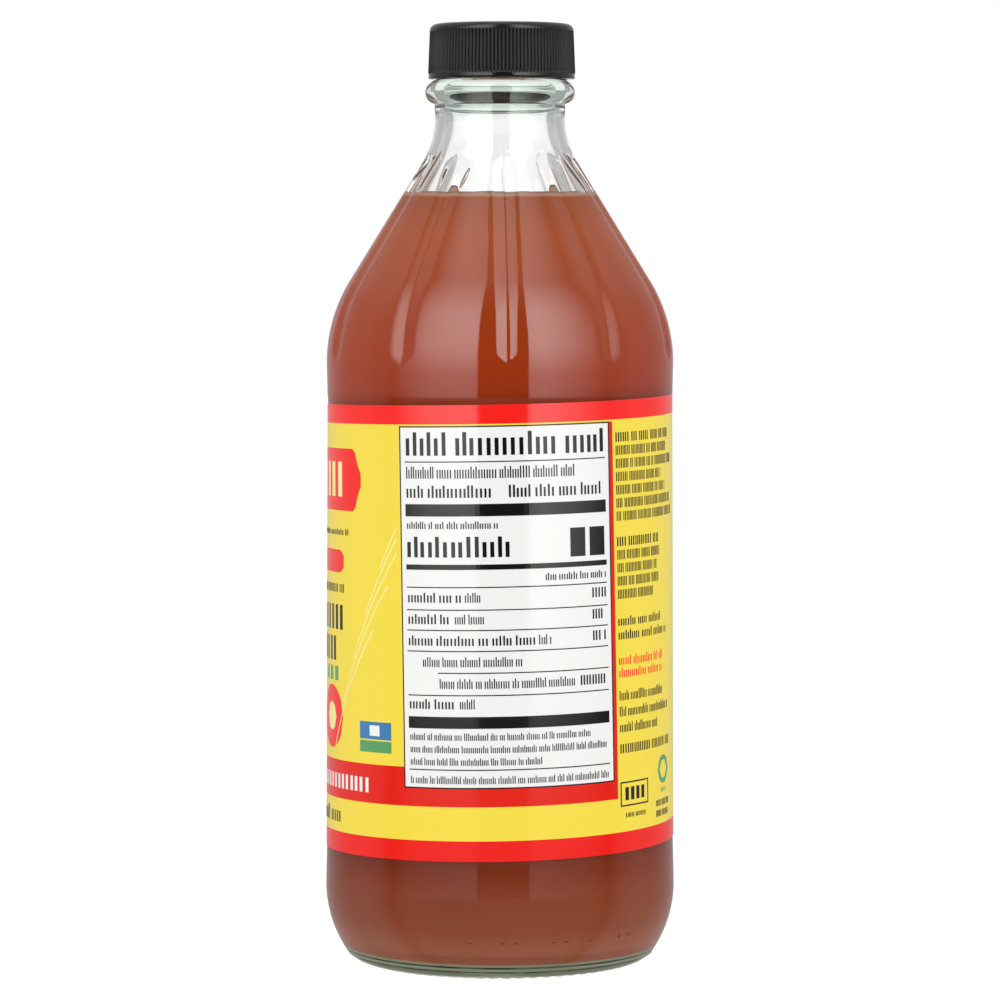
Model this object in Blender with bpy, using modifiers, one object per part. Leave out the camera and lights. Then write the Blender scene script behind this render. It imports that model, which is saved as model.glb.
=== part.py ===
"""A 473 ml vinegar bottle: clear glass with a fluted shoulder, its vinegar, a wrap-round label and a screw cap.

The origin is the centre of the foot, on the surface that the bottle stands on. +Z is up, and the
camera's side of the label faces -Y. Lengths below are in millimetres.
"""
import math

import bmesh
import bpy
from mathutils import Vector

MM = 0.001

# Turning
COLUMNS = 80
CAVITY_COLUMNS = 40
FIRST_COLUMN_DEGREES = -87.4

# Outside of the glass, from the foot up
FOOT_RADIUS = 35.71
HEEL_HEIGHT = 15.6
HEEL_ARC_RADIUS = 24.5
HEEL_ARC_DEGREES = 33.0
BEARING_RING_WIDTH = 1.8
PUSH_UP = 1.8
PANEL_BOTTOM = 22.2
PANEL_BOTTOM_RADIUS = 35.31
PANEL_TOP = 117.2
PANEL_TOP_RADIUS = 34.82
CREST_HEIGHT = 122.0
CREST_RADIUS = 35.35
CREST_ARC_RADIUS = 32.0
SLOPE_DEGREES = 31.7
NECK_RADIUS = 13.15
NECK_ARC_RADIUS = 18.0

# Finish of the glass, under and inside the cap
COLLAR_RADIUS = 13.29
COLLAR_BOTTOM = 172.8
COLLAR_TOP = 174.2
BEAD_CENTRE_RADIUS = 12.67
BEAD_CENTRE_HEIGHT = 176.8
BEAD_ARC_RADIUS = 2.55
BEAD_UNDERSIDE_DEGREES = -74
FINISH_RADIUS = 12.6
LIP_HEIGHT = 188.5
LIP_BEVEL = 0.55

# Inside of the glass
WALL = 2.4
PANEL_WALL = 2.3
FLOOR_HEIGHT = 5.5
FLOOR_RISE = 1.6
INNER_HEEL_ARC_RADIUS = 17.5

# Flutes pressed into the shoulder
FLUTES = 10
GROOVE_DEPTH = 0.6
GROOVE_HALF_WIDTH = 2.4
GROOVE_TOP = 165.0
GROOVE_FULL = 158.0
GROOVE_BOTTOM = 123.0

# Contents
FILL_HEIGHT = 155.6
VINEGAR_GAP = 0.3

# Label, wrapped a little askew so that it rises to the right
LABEL_BOTTOM = 24.6
LABEL_TOP = 114.78
LABEL_RISE_DEGREES = 1.143
LABEL_SEAM_GAP_DEGREES = 9.0
LABEL_GAP = 0.15
LABEL_THICKNESS = 0.12

# Cap
CAP_TOP = 190.65
CAP_BOTTOM = 179.45
CAP_OFFSET = 0.35
CAP_TOP_RADIUS = 13.2
CAP_CORNER_RADIUS = 14.25
CAP_CORNER_DROP = 0.5
CAP_RIM_RADIUS = 14.62
CAP_RIM_HEIGHT = 189.2
CAP_WIDEST_RADIUS = 14.95
CAP_BAND_TOP = 180.45
CAP_BAND_TOP_RADIUS = 14.86
CAP_BAND_RADIUS = 14.84
CAP_RIBS = 120
CAP_RIB_DEPTH = 0.36
CAP_RIB_RUN_OUT = 0.35
CAP_BORE_RADIUS = 13.35
CAP_BORE_TOP = 188.8
CAP_BORE_SIDES = 48

COLLECTION_NAME = "vinegar_bottle"
MERGE_DISTANCE = 0.00001


def clear_scene():
    """Removes whatever objects the file already holds."""
    for thing in list(bpy.data.objects):
        bpy.data.objects.remove(thing, do_unlink=True)


def new_collection(name):
    """Returns a new collection in the scene."""
    collection = bpy.data.collections.new(name)
    bpy.context.scene.collection.children.link(collection)
    return collection


def principled(name, colour, roughness, transmission=0.0, ior=1.5):
    """Returns a material with one Principled shader; colour is linear red, green and blue."""
    material = bpy.data.materials.new(name)
    material.use_nodes = True
    shader = material.node_tree.nodes["Principled BSDF"]
    shader.inputs["Base Color"].default_value = (*colour, 1.0)
    shader.inputs["Roughness"].default_value = roughness
    shader.inputs["Metallic"].default_value = 0.0
    shader.inputs["Transmission Weight"].default_value = transmission
    shader.inputs["IOR"].default_value = ior
    return material


def arc(centre_radius, centre_height, size, start_degrees, end_degrees, steps):
    """Returns points along an arc; 0 degrees points away from the axis and 90 degrees points up."""
    points = []
    for step in range(steps + 1):
        angle = math.radians(start_degrees + (end_degrees - start_degrees) * step / steps)
        points.append((centre_radius + size * math.cos(angle), centre_height + size * math.sin(angle)))
    return points


def shoulder(inset, steps):
    """Returns the shoulder's profile from the neck down to its crest, set in from the outside by inset.

    A hollow arc leaves the neck, a straight slope follows, and a round arc ends at the crest.
    """
    neck_size = NECK_ARC_RADIUS + inset
    crest_size = CREST_ARC_RADIUS - inset
    neck_centre = NECK_RADIUS + NECK_ARC_RADIUS
    crest_centre = CREST_RADIUS - CREST_ARC_RADIUS
    hollow = arc(neck_centre, slope_start(), neck_size, 180, 180 + SLOPE_DEGREES, steps)
    crest = arc(crest_centre, CREST_HEIGHT, crest_size, SLOPE_DEGREES, 0, steps + 2)
    return hollow, crest


def slope_start():
    """Returns the height where the neck's hollow arc begins, so that its slope meets the crest's."""
    turn = math.radians(SLOPE_DEGREES)
    lower_radius = CREST_RADIUS - CREST_ARC_RADIUS * (1 - math.cos(turn))
    lower_height = CREST_HEIGHT + CREST_ARC_RADIUS * math.sin(turn)
    upper_radius = NECK_RADIUS + NECK_ARC_RADIUS * (1 - math.cos(turn))
    upper_height = lower_height + (lower_radius - upper_radius) / math.tan(turn)
    return upper_height + NECK_ARC_RADIUS * math.sin(turn)


def slope_radius(height, inset):
    """Returns the straight slope's radius at a height, set in from the outside by inset."""
    turn = math.radians(SLOPE_DEGREES)
    start_radius = CREST_RADIUS - CREST_ARC_RADIUS * (1 - math.cos(turn))
    start_height = CREST_HEIGHT + CREST_ARC_RADIUS * math.sin(turn)
    return start_radius - (height - start_height) * math.tan(turn) - inset / math.cos(turn)


def heel(side_radius, large_size, floor_height, steps):
    """Returns the heel's profile: a large arc off the side, then a small one that ends level."""
    turn = math.radians(HEEL_ARC_DEGREES)
    rise = HEEL_HEIGHT - floor_height
    small_size = (rise - large_size * math.sin(turn)) / (1 - math.sin(turn))
    large = arc(side_radius - large_size, HEEL_HEIGHT, large_size, 0, -HEEL_ARC_DEGREES, steps)
    join_radius, join_height = large[-1]
    centre_radius = join_radius - small_size * math.cos(turn)
    centre_height = join_height + small_size * math.sin(turn)
    small = arc(centre_radius, centre_height, small_size, -HEEL_ARC_DEGREES, -90, steps)
    return large + small[1:]


def panel_radius(height):
    """Returns the glass's outer radius in the label's panel, which tapers a little towards the top."""
    share = (height - PANEL_BOTTOM) / (PANEL_TOP - PANEL_BOTTOM)
    return PANEL_BOTTOM_RADIUS + (PANEL_TOP_RADIUS - PANEL_BOTTOM_RADIUS) * share


def outer_profile():
    """Returns the outside of the glass from the middle of its mouth to the middle of its base."""
    profile = [(0, LIP_HEIGHT), (FINISH_RADIUS - LIP_BEVEL, LIP_HEIGHT), (FINISH_RADIUS, LIP_HEIGHT - LIP_BEVEL)]
    bead_top = BEAD_CENTRE_HEIGHT + BEAD_ARC_RADIUS
    profile.append((FINISH_RADIUS, bead_top))
    profile += arc(BEAD_CENTRE_RADIUS, BEAD_CENTRE_HEIGHT, BEAD_ARC_RADIUS, 90, BEAD_UNDERSIDE_DEGREES, 6)
    profile += [(COLLAR_RADIUS, COLLAR_TOP), (COLLAR_RADIUS, COLLAR_BOTTOM)]
    hollow, crest = shoulder(0, 4)
    profile += hollow
    profile.append((slope_radius(GROOVE_FULL, 0), GROOVE_FULL))
    profile += crest
    blend_height = (CREST_HEIGHT + PANEL_TOP) / 2
    blend_radius = (CREST_RADIUS + PANEL_TOP_RADIUS) / 2
    profile += [(blend_radius, blend_height), (PANEL_TOP_RADIUS, PANEL_TOP), (PANEL_BOTTOM_RADIUS, PANEL_BOTTOM)]
    profile.append((FOOT_RADIUS, PANEL_BOTTOM - 10 * (FOOT_RADIUS - PANEL_BOTTOM_RADIUS)))
    profile += heel(FOOT_RADIUS, HEEL_ARC_RADIUS, 0, 3)
    ring_inside = profile[-1][0] - BEARING_RING_WIDTH
    profile += [(ring_inside, 0), (ring_inside * 0.8, PUSH_UP * 0.55), (ring_inside * 0.4, PUSH_UP * 0.95), (0, PUSH_UP)]
    return profile


def inner_profile(gap):
    """Returns the inside of the glass from the slope's end to the floor's middle, set in by gap."""
    hollow, crest = shoulder(WALL + gap, 2)
    side = PANEL_BOTTOM_RADIUS - PANEL_WALL - gap
    floor = FLOOR_HEIGHT + gap
    bottom = heel(side, INNER_HEEL_ARC_RADIUS - gap, floor, 3)
    middle = [(bottom[-1][0] * 0.5, floor + FLOOR_RISE * 0.8), (0, floor + FLOOR_RISE)]
    return hollow, crest + [(side, PANEL_TOP)] + bottom + middle


def cavity_profile():
    """Returns the inside of the glass, run on upwards through the mouth as a cutter."""
    hollow, below = inner_profile(0)
    return [(0, CAP_TOP), (NECK_RADIUS - WALL, CAP_TOP)] + hollow + below


def vinegar_profile():
    """Returns the vinegar's outline from the middle of its surface to the middle of its base."""
    below = inner_profile(VINEGAR_GAP)[1]
    return [(0, FILL_HEIGHT), (slope_radius(FILL_HEIGHT, WALL + VINEGAR_GAP), FILL_HEIGHT)] + below


def cap_profile():
    """Returns the cap's outside from the middle of its top to the middle of its open end."""
    return [
        (0, CAP_TOP),
        (CAP_TOP_RADIUS, CAP_TOP),
        (CAP_CORNER_RADIUS, CAP_TOP - CAP_CORNER_DROP),
        (CAP_RIM_RADIUS, CAP_RIM_HEIGHT),
        (CAP_RIM_RADIUS, CAP_RIM_HEIGHT - CAP_RIB_RUN_OUT),
        (CAP_WIDEST_RADIUS, CAP_BAND_TOP + CAP_RIB_RUN_OUT),
        (CAP_BAND_TOP_RADIUS, CAP_BAND_TOP),
        (CAP_BAND_RADIUS, CAP_BOTTOM),
        (0, CAP_BOTTOM),
    ]


def turned(name, profile, columns, collection, material=None):
    """Makes a turned solid from a profile given in millimetres, top to bottom."""
    mesh = bpy.data.meshes.new(name)
    points = [(radius * MM, 0.0, height * MM) for radius, height in profile]
    edges = [(index, index + 1) for index in range(len(points) - 1)]
    mesh.from_pydata(points, edges, [])
    thing = bpy.data.objects.new(name, mesh)
    collection.objects.link(thing)
    thing.rotation_euler.z = math.radians(FIRST_COLUMN_DEGREES)
    screw = thing.modifiers.new("Turn", "SCREW")
    screw.axis = "Z"
    screw.angle = math.tau
    screw.steps = columns
    screw.render_steps = columns
    screw.use_merge_vertices = True
    screw.merge_threshold = MERGE_DISTANCE
    screw.use_smooth_shade = True
    if material:
        mesh.materials.append(material)
    return thing


def apply_turning(thing):
    """Turns the profile into a plain mesh, so that its points can be pressed in."""
    bpy.context.view_layer.update()
    shaped = thing.evaluated_get(bpy.context.evaluated_depsgraph_get())
    mesh = bpy.data.meshes.new_from_object(shaped)
    old = thing.data
    thing.modifiers.clear()
    thing.data = mesh
    bpy.data.meshes.remove(old)
    mesh.name = thing.name


def press(thing, rule):
    """Moves every point off the axis to the radius and angle that rule gives for its own."""
    for point in thing.data.vertices:
        radius = math.hypot(point.co.x, point.co.y) / MM
        if radius < MERGE_DISTANCE / MM:
            continue
        angle = math.degrees(math.atan2(point.co.y, point.co.x))
        radius, angle = rule(radius, angle, point.co.z / MM)
        point.co.x = radius * MM * math.cos(math.radians(angle))
        point.co.y = radius * MM * math.sin(math.radians(angle))
    thing.data.update()


def flute(radius, angle, height):
    """Presses the V of a groove at each flute's edge and draws the points beside it closer."""
    if not GROOVE_BOTTOM < height < GROOVE_TOP:
        return radius, angle
    pitch = 360 / FLUTES
    column = 360 / COLUMNS
    off = angle - pitch * round(angle / pitch)
    if abs(off) < column / 2:
        run_in = min(1.0, (GROOVE_TOP - height) / (GROOVE_TOP - GROOVE_FULL))
        return radius - GROOVE_DEPTH * run_in, angle
    if abs(off) < column * 1.5:
        wanted = min(column, math.degrees(GROOVE_HALF_WIDTH / radius))
        return radius, angle - off + math.copysign(wanted, off)
    return radius, angle


def rib(radius, angle, height):
    """Presses every second column of the cap's side in between the ribs."""
    inside = CAP_BAND_TOP + CAP_RIB_RUN_OUT / 2 < height < CAP_RIM_HEIGHT - CAP_RIB_RUN_OUT / 2
    half_pitch = 180 / CAP_RIBS
    if inside and round(angle / half_pitch) % 2:
        return radius - CAP_RIB_DEPTH, angle
    return radius, angle


def cut(thing, cutter, name):
    """Takes the cutter's shape out of the thing."""
    cutter.hide_render = True
    cutter.display_type = "WIRE"
    boolean = thing.modifiers.new(name, "BOOLEAN")
    boolean.operation = "DIFFERENCE"
    boolean.solver = "EXACT"
    boolean.object = cutter


def build_glass(parts, cutters):
    """Makes the bottle: a turned outside with pressed flutes, hollowed through its mouth."""
    material = principled("clear_glass", (0.82, 0.9, 0.86), 0.03, transmission=1.0, ior=1.52)
    glass = turned("glass_bottle", outer_profile(), COLUMNS, parts, material)
    apply_turning(glass)
    press(glass, flute)
    cavity = turned("glass_cavity", cavity_profile(), CAVITY_COLUMNS, cutters)
    cut(glass, cavity, "Hollow")
    return glass


def build_vinegar(parts):
    """Makes the vinegar, up to its level in the shoulder."""
    material = principled("cloudy_vinegar", (0.33, 0.065, 0.022), 0.08, ior=1.34)
    return turned("vinegar", vinegar_profile(), CAVITY_COLUMNS, parts, material)


def build_label(parts):
    """Makes the paper label: a strip round the panel, open at its seam behind, then thickened."""
    column = 360 / COLUMNS
    half = round((180 - LABEL_SEAM_GAP_DEGREES / 2) / column - 0.5)
    mesh = bpy.data.meshes.new("label")
    builder = bmesh.new()
    rows = []
    for index in range(-half, half + 1):
        turn = math.radians(index * column)
        rise = math.tan(math.radians(LABEL_RISE_DEGREES)) * PANEL_BOTTOM_RADIUS * turn
        direction = Vector((math.cos(turn), math.sin(turn), 0.0))
        ends = []
        for height in (LABEL_BOTTOM + rise, LABEL_TOP + rise):
            place = direction * (panel_radius(height) + LABEL_GAP)
            place.z = height
            ends.append(builder.verts.new(place * MM))
        rows.append(ends)
    for (low, high), (next_low, next_high) in zip(rows, rows[1:]):
        face = builder.faces.new((low, next_low, next_high, high))
        face.smooth = True
    builder.normal_update()
    builder.to_mesh(mesh)
    builder.free()
    label = bpy.data.objects.new("label", mesh)
    parts.objects.link(label)
    label.rotation_euler.z = math.radians(FIRST_COLUMN_DEGREES)
    thicken = label.modifiers.new("Paper", "SOLIDIFY")
    thicken.thickness = LABEL_THICKNESS * MM
    thicken.offset = 1.0
    mesh.materials.append(principled("printed_paper", (0.86, 0.62, 0.09), 0.45))
    return label


def build_cap(parts, cutters):
    """Makes the screw cap: a turned shell with ribs pressed round its side, open below."""
    material = principled("black_plastic", (0.028, 0.028, 0.03), 0.45)
    cap = turned("screw_cap", cap_profile(), 2 * CAP_RIBS, parts, material)
    apply_turning(cap)
    press(cap, rib)
    cap.location.x = CAP_OFFSET * MM
    depth = CAP_BORE_TOP - CAP_BOTTOM + 1.0
    bpy.ops.mesh.primitive_cylinder_add(
        vertices=CAP_BORE_SIDES,
        radius=CAP_BORE_RADIUS * MM,
        depth=depth * MM,
        location=(CAP_OFFSET * MM, 0.0, (CAP_BORE_TOP - depth / 2) * MM),
    )
    bore = bpy.context.active_object
    bore.name = "cap_bore"
    for holder in list(bore.users_collection):
        holder.objects.unlink(bore)
    cutters.objects.link(bore)
    cut(cap, bore, "Bore")
    return cap


def main():
    """Builds the whole bottle."""
    clear_scene()
    parts = new_collection(COLLECTION_NAME)
    cutters = new_collection("cutters")
    build_glass(parts, cutters)
    build_vinegar(parts)
    build_label(parts)
    build_cap(parts, cutters)


main()
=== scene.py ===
"""Looks of the vinegar bottle: fluted glass, cloudy vinegar, a printed wrap label and a ribbed cap.

Lengths are in millimetres and angles in degrees, unless a name says otherwise. The frame's own axes
are used: +Z up from the foot, with the camera's side of the label facing -Y.
"""
import math
import random

import bpy
from mathutils import Matrix, Vector


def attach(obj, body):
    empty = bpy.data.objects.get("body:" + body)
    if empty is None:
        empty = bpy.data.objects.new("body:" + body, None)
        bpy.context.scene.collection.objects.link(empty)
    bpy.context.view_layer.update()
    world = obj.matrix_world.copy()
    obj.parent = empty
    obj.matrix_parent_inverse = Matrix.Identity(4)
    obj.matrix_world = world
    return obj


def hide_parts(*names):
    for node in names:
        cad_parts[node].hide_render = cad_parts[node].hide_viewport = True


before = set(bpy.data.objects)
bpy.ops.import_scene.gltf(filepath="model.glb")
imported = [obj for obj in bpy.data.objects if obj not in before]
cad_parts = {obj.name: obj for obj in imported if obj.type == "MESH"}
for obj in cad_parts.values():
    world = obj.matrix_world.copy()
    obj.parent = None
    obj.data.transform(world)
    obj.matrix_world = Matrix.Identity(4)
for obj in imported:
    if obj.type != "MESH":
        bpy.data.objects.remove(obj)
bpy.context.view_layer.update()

BODY = "root"
MM = 0.001

# Outside of the glass, from the foot up
FOOT_RADIUS = 35.71
HEEL_HEIGHT = 15.6
HEEL_ARC_RADIUS = 24.5
HEEL_ARC_DEGREES = 33.0
BEARING_RING_WIDTH = 1.8
PUSH_UP = 1.8
PANEL_BOTTOM = 22.2
PANEL_BOTTOM_RADIUS = 35.5
PANEL_TOP = 117.2
PANEL_TOP_RADIUS = 35.08
PANEL_FOOT = 24.8
PANEL_HEAD = 114.0
PANEL_RIM = (35.22, 115.4)
CREST_HEIGHT = 122.0
CREST_RADIUS = 35.35
CREST_ARC_RADIUS = 32.0
SLOPE_DEGREES = 31.7
NECK_RADIUS = 13.15
NECK_ARC_RADIUS = 18.0

# Finish of the glass, under and inside the cap
COLLAR_RADIUS = 13.29
COLLAR_BOTTOM = 172.8
COLLAR_TOP = 174.2
BEAD_CENTRE_RADIUS = 12.67
BEAD_CENTRE_HEIGHT = 176.8
BEAD_ARC_RADIUS = 2.55
BEAD_UNDERSIDE_DEGREES = -74
FINISH_RADIUS = 12.6
LIP_HEIGHT = 188.5
LIP_BEVEL = 0.55

# Inside of the glass
NECK_WALL = 1.7
SHOULDER_WALL = 2.4
WALL_SETTLES = 130.0
PANEL_WALL = 2.49
FLOOR_HEIGHT = 5.5
FLOOR_RISE = 1.6
INNER_HEEL_ARC_RADIUS = 17.5

# Flutes pressed into the shoulder
FLUTES = 10
FIRST_CREASE = -87.4
FLUTE_COLUMNS = 36
CREASE_CROWDING = 0.62
GROOVE_DEPTH = 0.66
GROOVE_HALF_WIDTH = 2.7
GROOVE_ROUNDING = 0.3
GROOVE_EASE = 0.1
GROOVE_TOP = 165.0
GROOVE_FULL = 162.0
GROOVE_FLOOR = 125.0
GROOVE_BOTTOM = 122.6
CREASE_BULGE = 0.22
CREASE_BULGE_WIDTH = 3.5

# Grip marks moulded into the bearing ring, seams above it, and a row of small raised marks on the heel
RING_TICKS = 66
RING_TICK_HEIGHT = 0.45
RING_TICK_LEAN = 1.1
RING_INSIDE = (25.0, 26.5)
RING_OUTSIDE = (28.5, 30.0)
RING_TOP = 1.0
SEAM_HEIGHTS = (1.75, 2.75)
SEAM_SIZE = 0.18
SEAM_SPREAD = 0.17
SEAMS_TOP = 5.0
SEAMS_FROM_RADIUS = 27.7
MARK_HEIGHT = 8.3
MARKS_ACROSS = (-6.0, 0.6, 3.2, 10.7, 13.2, 17.9, 23.8, 25.6)
MARK_SIZE = 0.45
MARK_RISE = 0.28

# Long bubble in the neck's wall, by its ends' places across and their heights
BUBBLE_TOP = (-5.9, 161.2)
BUBBLE_FOOT = (-7.9, 157.0)
BUBBLE_RADIUS = 0.42
WALL_MIDDLE = 0.9

# Brown runs in the grooves above the vinegar's surface, a painted reflection of the vinegar's colour carried
# up in the wall, by each run's ends (across, height)
PAINTED_REFLECTION_RUNS = (
    ((-11.5, 164.6), (-16.2, 156.4)), ((12.2, 164.4), (17.8, 156.4)),
    ((-13.9, 163.8), (-17.7, 158.6)), ((14.6, 162.3), (17.9, 157.4)),
)
PAINTED_REFLECTION_RADIUS = 0.5

# Contents
FILL_HEIGHT = 155.6
MENISCUS_RISE = 0.6
MENISCUS_WIDTH = 1.8
VINEGAR_SINK = 0.05
VINEGAR_RAMP_TOP = 160.0
# The vinegar's colour by height, with light and shade painted in: painted shade below the label where less
# light reaches it, paler up the shoulder as a painted reflection, and paler again near the floor; along the
# fill line a pale band that is partly the thin edge's own paler colour and partly a painted highlight, with
# a painted dark line just above it.
VINEGAR_COLOURS_AND_PAINTED_LIGHT = (
    (7.0, (0.255, 0.075, 0.037)),
    (10.0, (0.225, 0.052, 0.021)),
    (17.0, (0.215, 0.040, 0.014)),
    (21.6, (0.195, 0.025, 0.005)),
    (120.0, (0.315, 0.033, 0.006)),
    (135.0, (0.325, 0.043, 0.006)),
    (148.0, (0.345, 0.058, 0.007)),
    (FILL_HEIGHT - 0.1, (0.28, 0.050, 0.007)),
    (FILL_HEIGHT + 0.05, (0.44, 0.25, 0.15)),
    (FILL_HEIGHT + 0.35, (0.44, 0.25, 0.15)),
    (FILL_HEIGHT + 0.45, (0.10, 0.04, 0.02)),
)

# Thick base, painted grey green for what the thick glass shows by bending and mirroring light, with painted
# dark lines where the mould's seams bend the light
BASE_TOP = 3.6
BASE_RAMP_TOP = 4.0
BASE_PAINTED_COLOURS = (
    (0.6, (0.14, 0.17, 0.11)),
    (1.5, (0.11, 0.14, 0.08)),
    (1.65, (0.025, 0.038, 0.016)),
    (1.9, (0.025, 0.038, 0.016)),
    (2.05, (0.20, 0.25, 0.17)),
    (2.5, (0.20, 0.24, 0.16)),
    (2.62, (0.01, 0.02, 0.006)),
    (2.88, (0.01, 0.02, 0.006)),
    (3.0, (0.20, 0.225, 0.15)),
    (3.6, (0.22, 0.19, 0.12)),
)
BASE_PAINTED_MEAN_COLOUR = (0.15, 0.18, 0.115)

# Clear glass, tinted in its thick finish
GLASS_IOR = 1.52
GLASS_COLOURS = (
    (172.6, (0.96, 0.97, 0.96)),
    (174.5, (0.72, 0.79, 0.74)),
)

# Cap
CAP_TOP = 190.65
CAP_BOTTOM = 179.45
CAP_OFFSET = 0.35
CAP_TOP_RADIUS = 13.2
CAP_RIM_RADIUS = 14.62
CAP_RIM_HEIGHT = 189.2
CAP_WIDEST_RADIUS = 14.95
CAP_BAND_TOP = 180.45
CAP_BAND_TOP_RADIUS = 14.84
CAP_BAND_RADIUS = 14.91
CAP_RIBS = 120
CAP_RIB_COLUMNS = 8
CAP_RIB_DEPTH = 0.36
CAP_RIB_RUN_OUT = 0.35
CAP_BORE_RADIUS = 13.35
CAP_BORE_TOP = 188.8
CAP_TOP_CORNER = 0.6
CAP_MOUTH_BEVEL = 0.15
CAP_FOOT_BEVEL = 0.2
CAP_SIDE_MARGIN = 0.5

# Roughness of the cap, by height: glossier on its band and round its top edge than on its ribs
CAP_DULLNESS = (
    (180.2, (0.1, 0.1, 0.1)),
    (180.7, (0.5, 0.5, 0.5)),
    (188.8, (0.5, 0.5, 0.5)),
    (189.3, (0.2, 0.2, 0.2)),
)

# Label; across and up are measured on the paper, from the middle of the side that faces the camera
LABEL_LOW = 24.6
LABEL_HIGH = 114.77
LABEL_MIDDLE = 69.7
LABEL_SLANT = 1.143
LABEL_HALF_LENGTH = 108.4
LABEL_RADIUS = 35.35
PAPER_INSIDE = 0.02
PAPER_OUTSIDE = 0.12
PAPER_STEP = 1.0
INK_RISE = 0.012

# Camera
CAMERA_DISTANCE = 901.5
CAMERA_HEIGHT = 147.9
CAMERA_TILT_DOWN = 3.427
CAMERA_LENS = 159.2


def smooth(value, start, end):
    """Runs smoothly from 0 at start to 1 at end."""
    share = min(1.0, max(0.0, (value - start) / (end - start)))
    return share * share * (3 - 2 * share)


def arc(centre_radius, centre_height, size, start, end, steps):
    """Returns points along an arc; 0 degrees points away from the axis and 90 degrees points up."""
    points = []
    for step in range(steps + 1):
        angle = math.radians(start + (end - start) * step / steps)
        points.append((centre_radius + size * math.cos(angle), centre_height + size * math.sin(angle)))
    return points


def line(start, end, steps):
    """Returns the points of a straight stretch, without its first one."""
    points = []
    for step in range(1, steps + 1):
        share = step / steps
        points.append((start[0] + (end[0] - start[0]) * share, start[1] + (end[1] - start[1]) * share))
    return points


def shoulder_wall(height):
    """Returns the glass's thickness in the shoulder and neck, which thins upwards."""
    return SHOULDER_WALL + (NECK_WALL - SHOULDER_WALL) * smooth(height, WALL_SETTLES, GROOVE_TOP)


def shoulder(inset, crest_steps, slope_steps, hollow_steps):
    """Returns the shoulder from its crest up to the neck, set in by a rule of the height."""
    turn = math.radians(SLOPE_DEGREES)
    crest_centre = CREST_RADIUS - CREST_ARC_RADIUS
    crest = arc(crest_centre, CREST_HEIGHT, CREST_ARC_RADIUS, 0, SLOPE_DEGREES, crest_steps)
    crest_turns = [SLOPE_DEGREES * step / crest_steps for step in range(crest_steps + 1)]
    lower = crest[-1]
    upper_radius = NECK_RADIUS + NECK_ARC_RADIUS * (1 - math.cos(turn))
    upper_height = lower[1] + (lower[0] - upper_radius) / math.tan(turn)
    slope = line(lower, (upper_radius, upper_height), slope_steps)[:-1]
    arc_height = upper_height + NECK_ARC_RADIUS * math.sin(turn)
    hollow = arc(
        NECK_RADIUS + NECK_ARC_RADIUS, arc_height, NECK_ARC_RADIUS, 180 + SLOPE_DEGREES, 180, hollow_steps
    )
    hollow_turns = [SLOPE_DEGREES * (1 - step / hollow_steps) for step in range(hollow_steps + 1)]
    turns = crest_turns + [SLOPE_DEGREES] * len(slope) + hollow_turns
    points = []
    for (radius, height), lean in zip(crest + slope + hollow, turns):
        depth = inset(height)
        lean = math.radians(lean)
        points.append((radius - depth * math.cos(lean), height - depth * math.sin(lean)))
    return points


def heel(side_radius, large_size, floor_height, small_steps, large_steps):
    """Returns the heel from its level inner end out and up to the side: a small arc, then a large one."""
    turn = math.radians(HEEL_ARC_DEGREES)
    rise = HEEL_HEIGHT - floor_height
    small_size = (rise - large_size * math.sin(turn)) / (1 - math.sin(turn))
    large = arc(side_radius - large_size, HEEL_HEIGHT, large_size, -HEEL_ARC_DEGREES, 0, large_steps)
    join_radius, join_height = large[0]
    centre_radius = join_radius - small_size * math.cos(turn)
    centre_height = join_height + small_size * math.sin(turn)
    small = arc(centre_radius, centre_height, small_size, -90, -HEEL_ARC_DEGREES, small_steps)
    return small[:-1] + large


def panel_radius(height):
    """Returns the glass's outer radius in the label's panel, which tapers a little towards the top."""
    share = (height - PANEL_BOTTOM) / (PANEL_TOP - PANEL_BOTTOM)
    return PANEL_BOTTOM_RADIUS + (PANEL_TOP_RADIUS - PANEL_BOTTOM_RADIUS) * share


def dome(radius, low, rise, steps):
    """Returns a shallow dome's profile from the middle of its top out to its edge."""
    points = []
    for step in range(steps):
        share = step / steps
        points.append((radius * share, low + rise * (1 - share * share) ** 0.6))
    return points


def outer_profile():
    """Returns the outside of the glass from the middle of its base up to its lip."""
    bottom = heel(FOOT_RADIUS, HEEL_ARC_RADIUS, 0, 34, 10)
    ring_outside = bottom[0][0]
    ring_inside = ring_outside - BEARING_RING_WIDTH
    profile = dome(ring_inside, 0, PUSH_UP, 8)
    profile += [(ring_inside, 0.0), (ring_inside + BEARING_RING_WIDTH / 2, 0.0)]
    profile += bottom
    profile += line(bottom[-1], (panel_radius(PANEL_FOOT), PANEL_FOOT), 5)
    profile += line(profile[-1], (panel_radius(PANEL_HEAD), PANEL_HEAD), 3)
    profile += line(profile[-1], PANEL_RIM, 3)
    profile += line(PANEL_RIM, (CREST_RADIUS, CREST_HEIGHT), 8)[:-1]
    profile += shoulder(lambda height: 0.0, 30, 16, 14)
    bead = arc(BEAD_CENTRE_RADIUS, BEAD_CENTRE_HEIGHT, BEAD_ARC_RADIUS, BEAD_UNDERSIDE_DEGREES, 90, 14)
    profile += [(COLLAR_RADIUS, COLLAR_BOTTOM), (COLLAR_RADIUS, COLLAR_TOP)]
    profile += line((COLLAR_RADIUS, COLLAR_TOP), bead[0], 3)[:-1]
    profile += bead
    profile += [(FINISH_RADIUS, bead[-1][1]), (FINISH_RADIUS, LIP_HEIGHT - LIP_BEVEL)]
    profile.append((FINISH_RADIUS - LIP_BEVEL, LIP_HEIGHT))
    return profile


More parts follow.
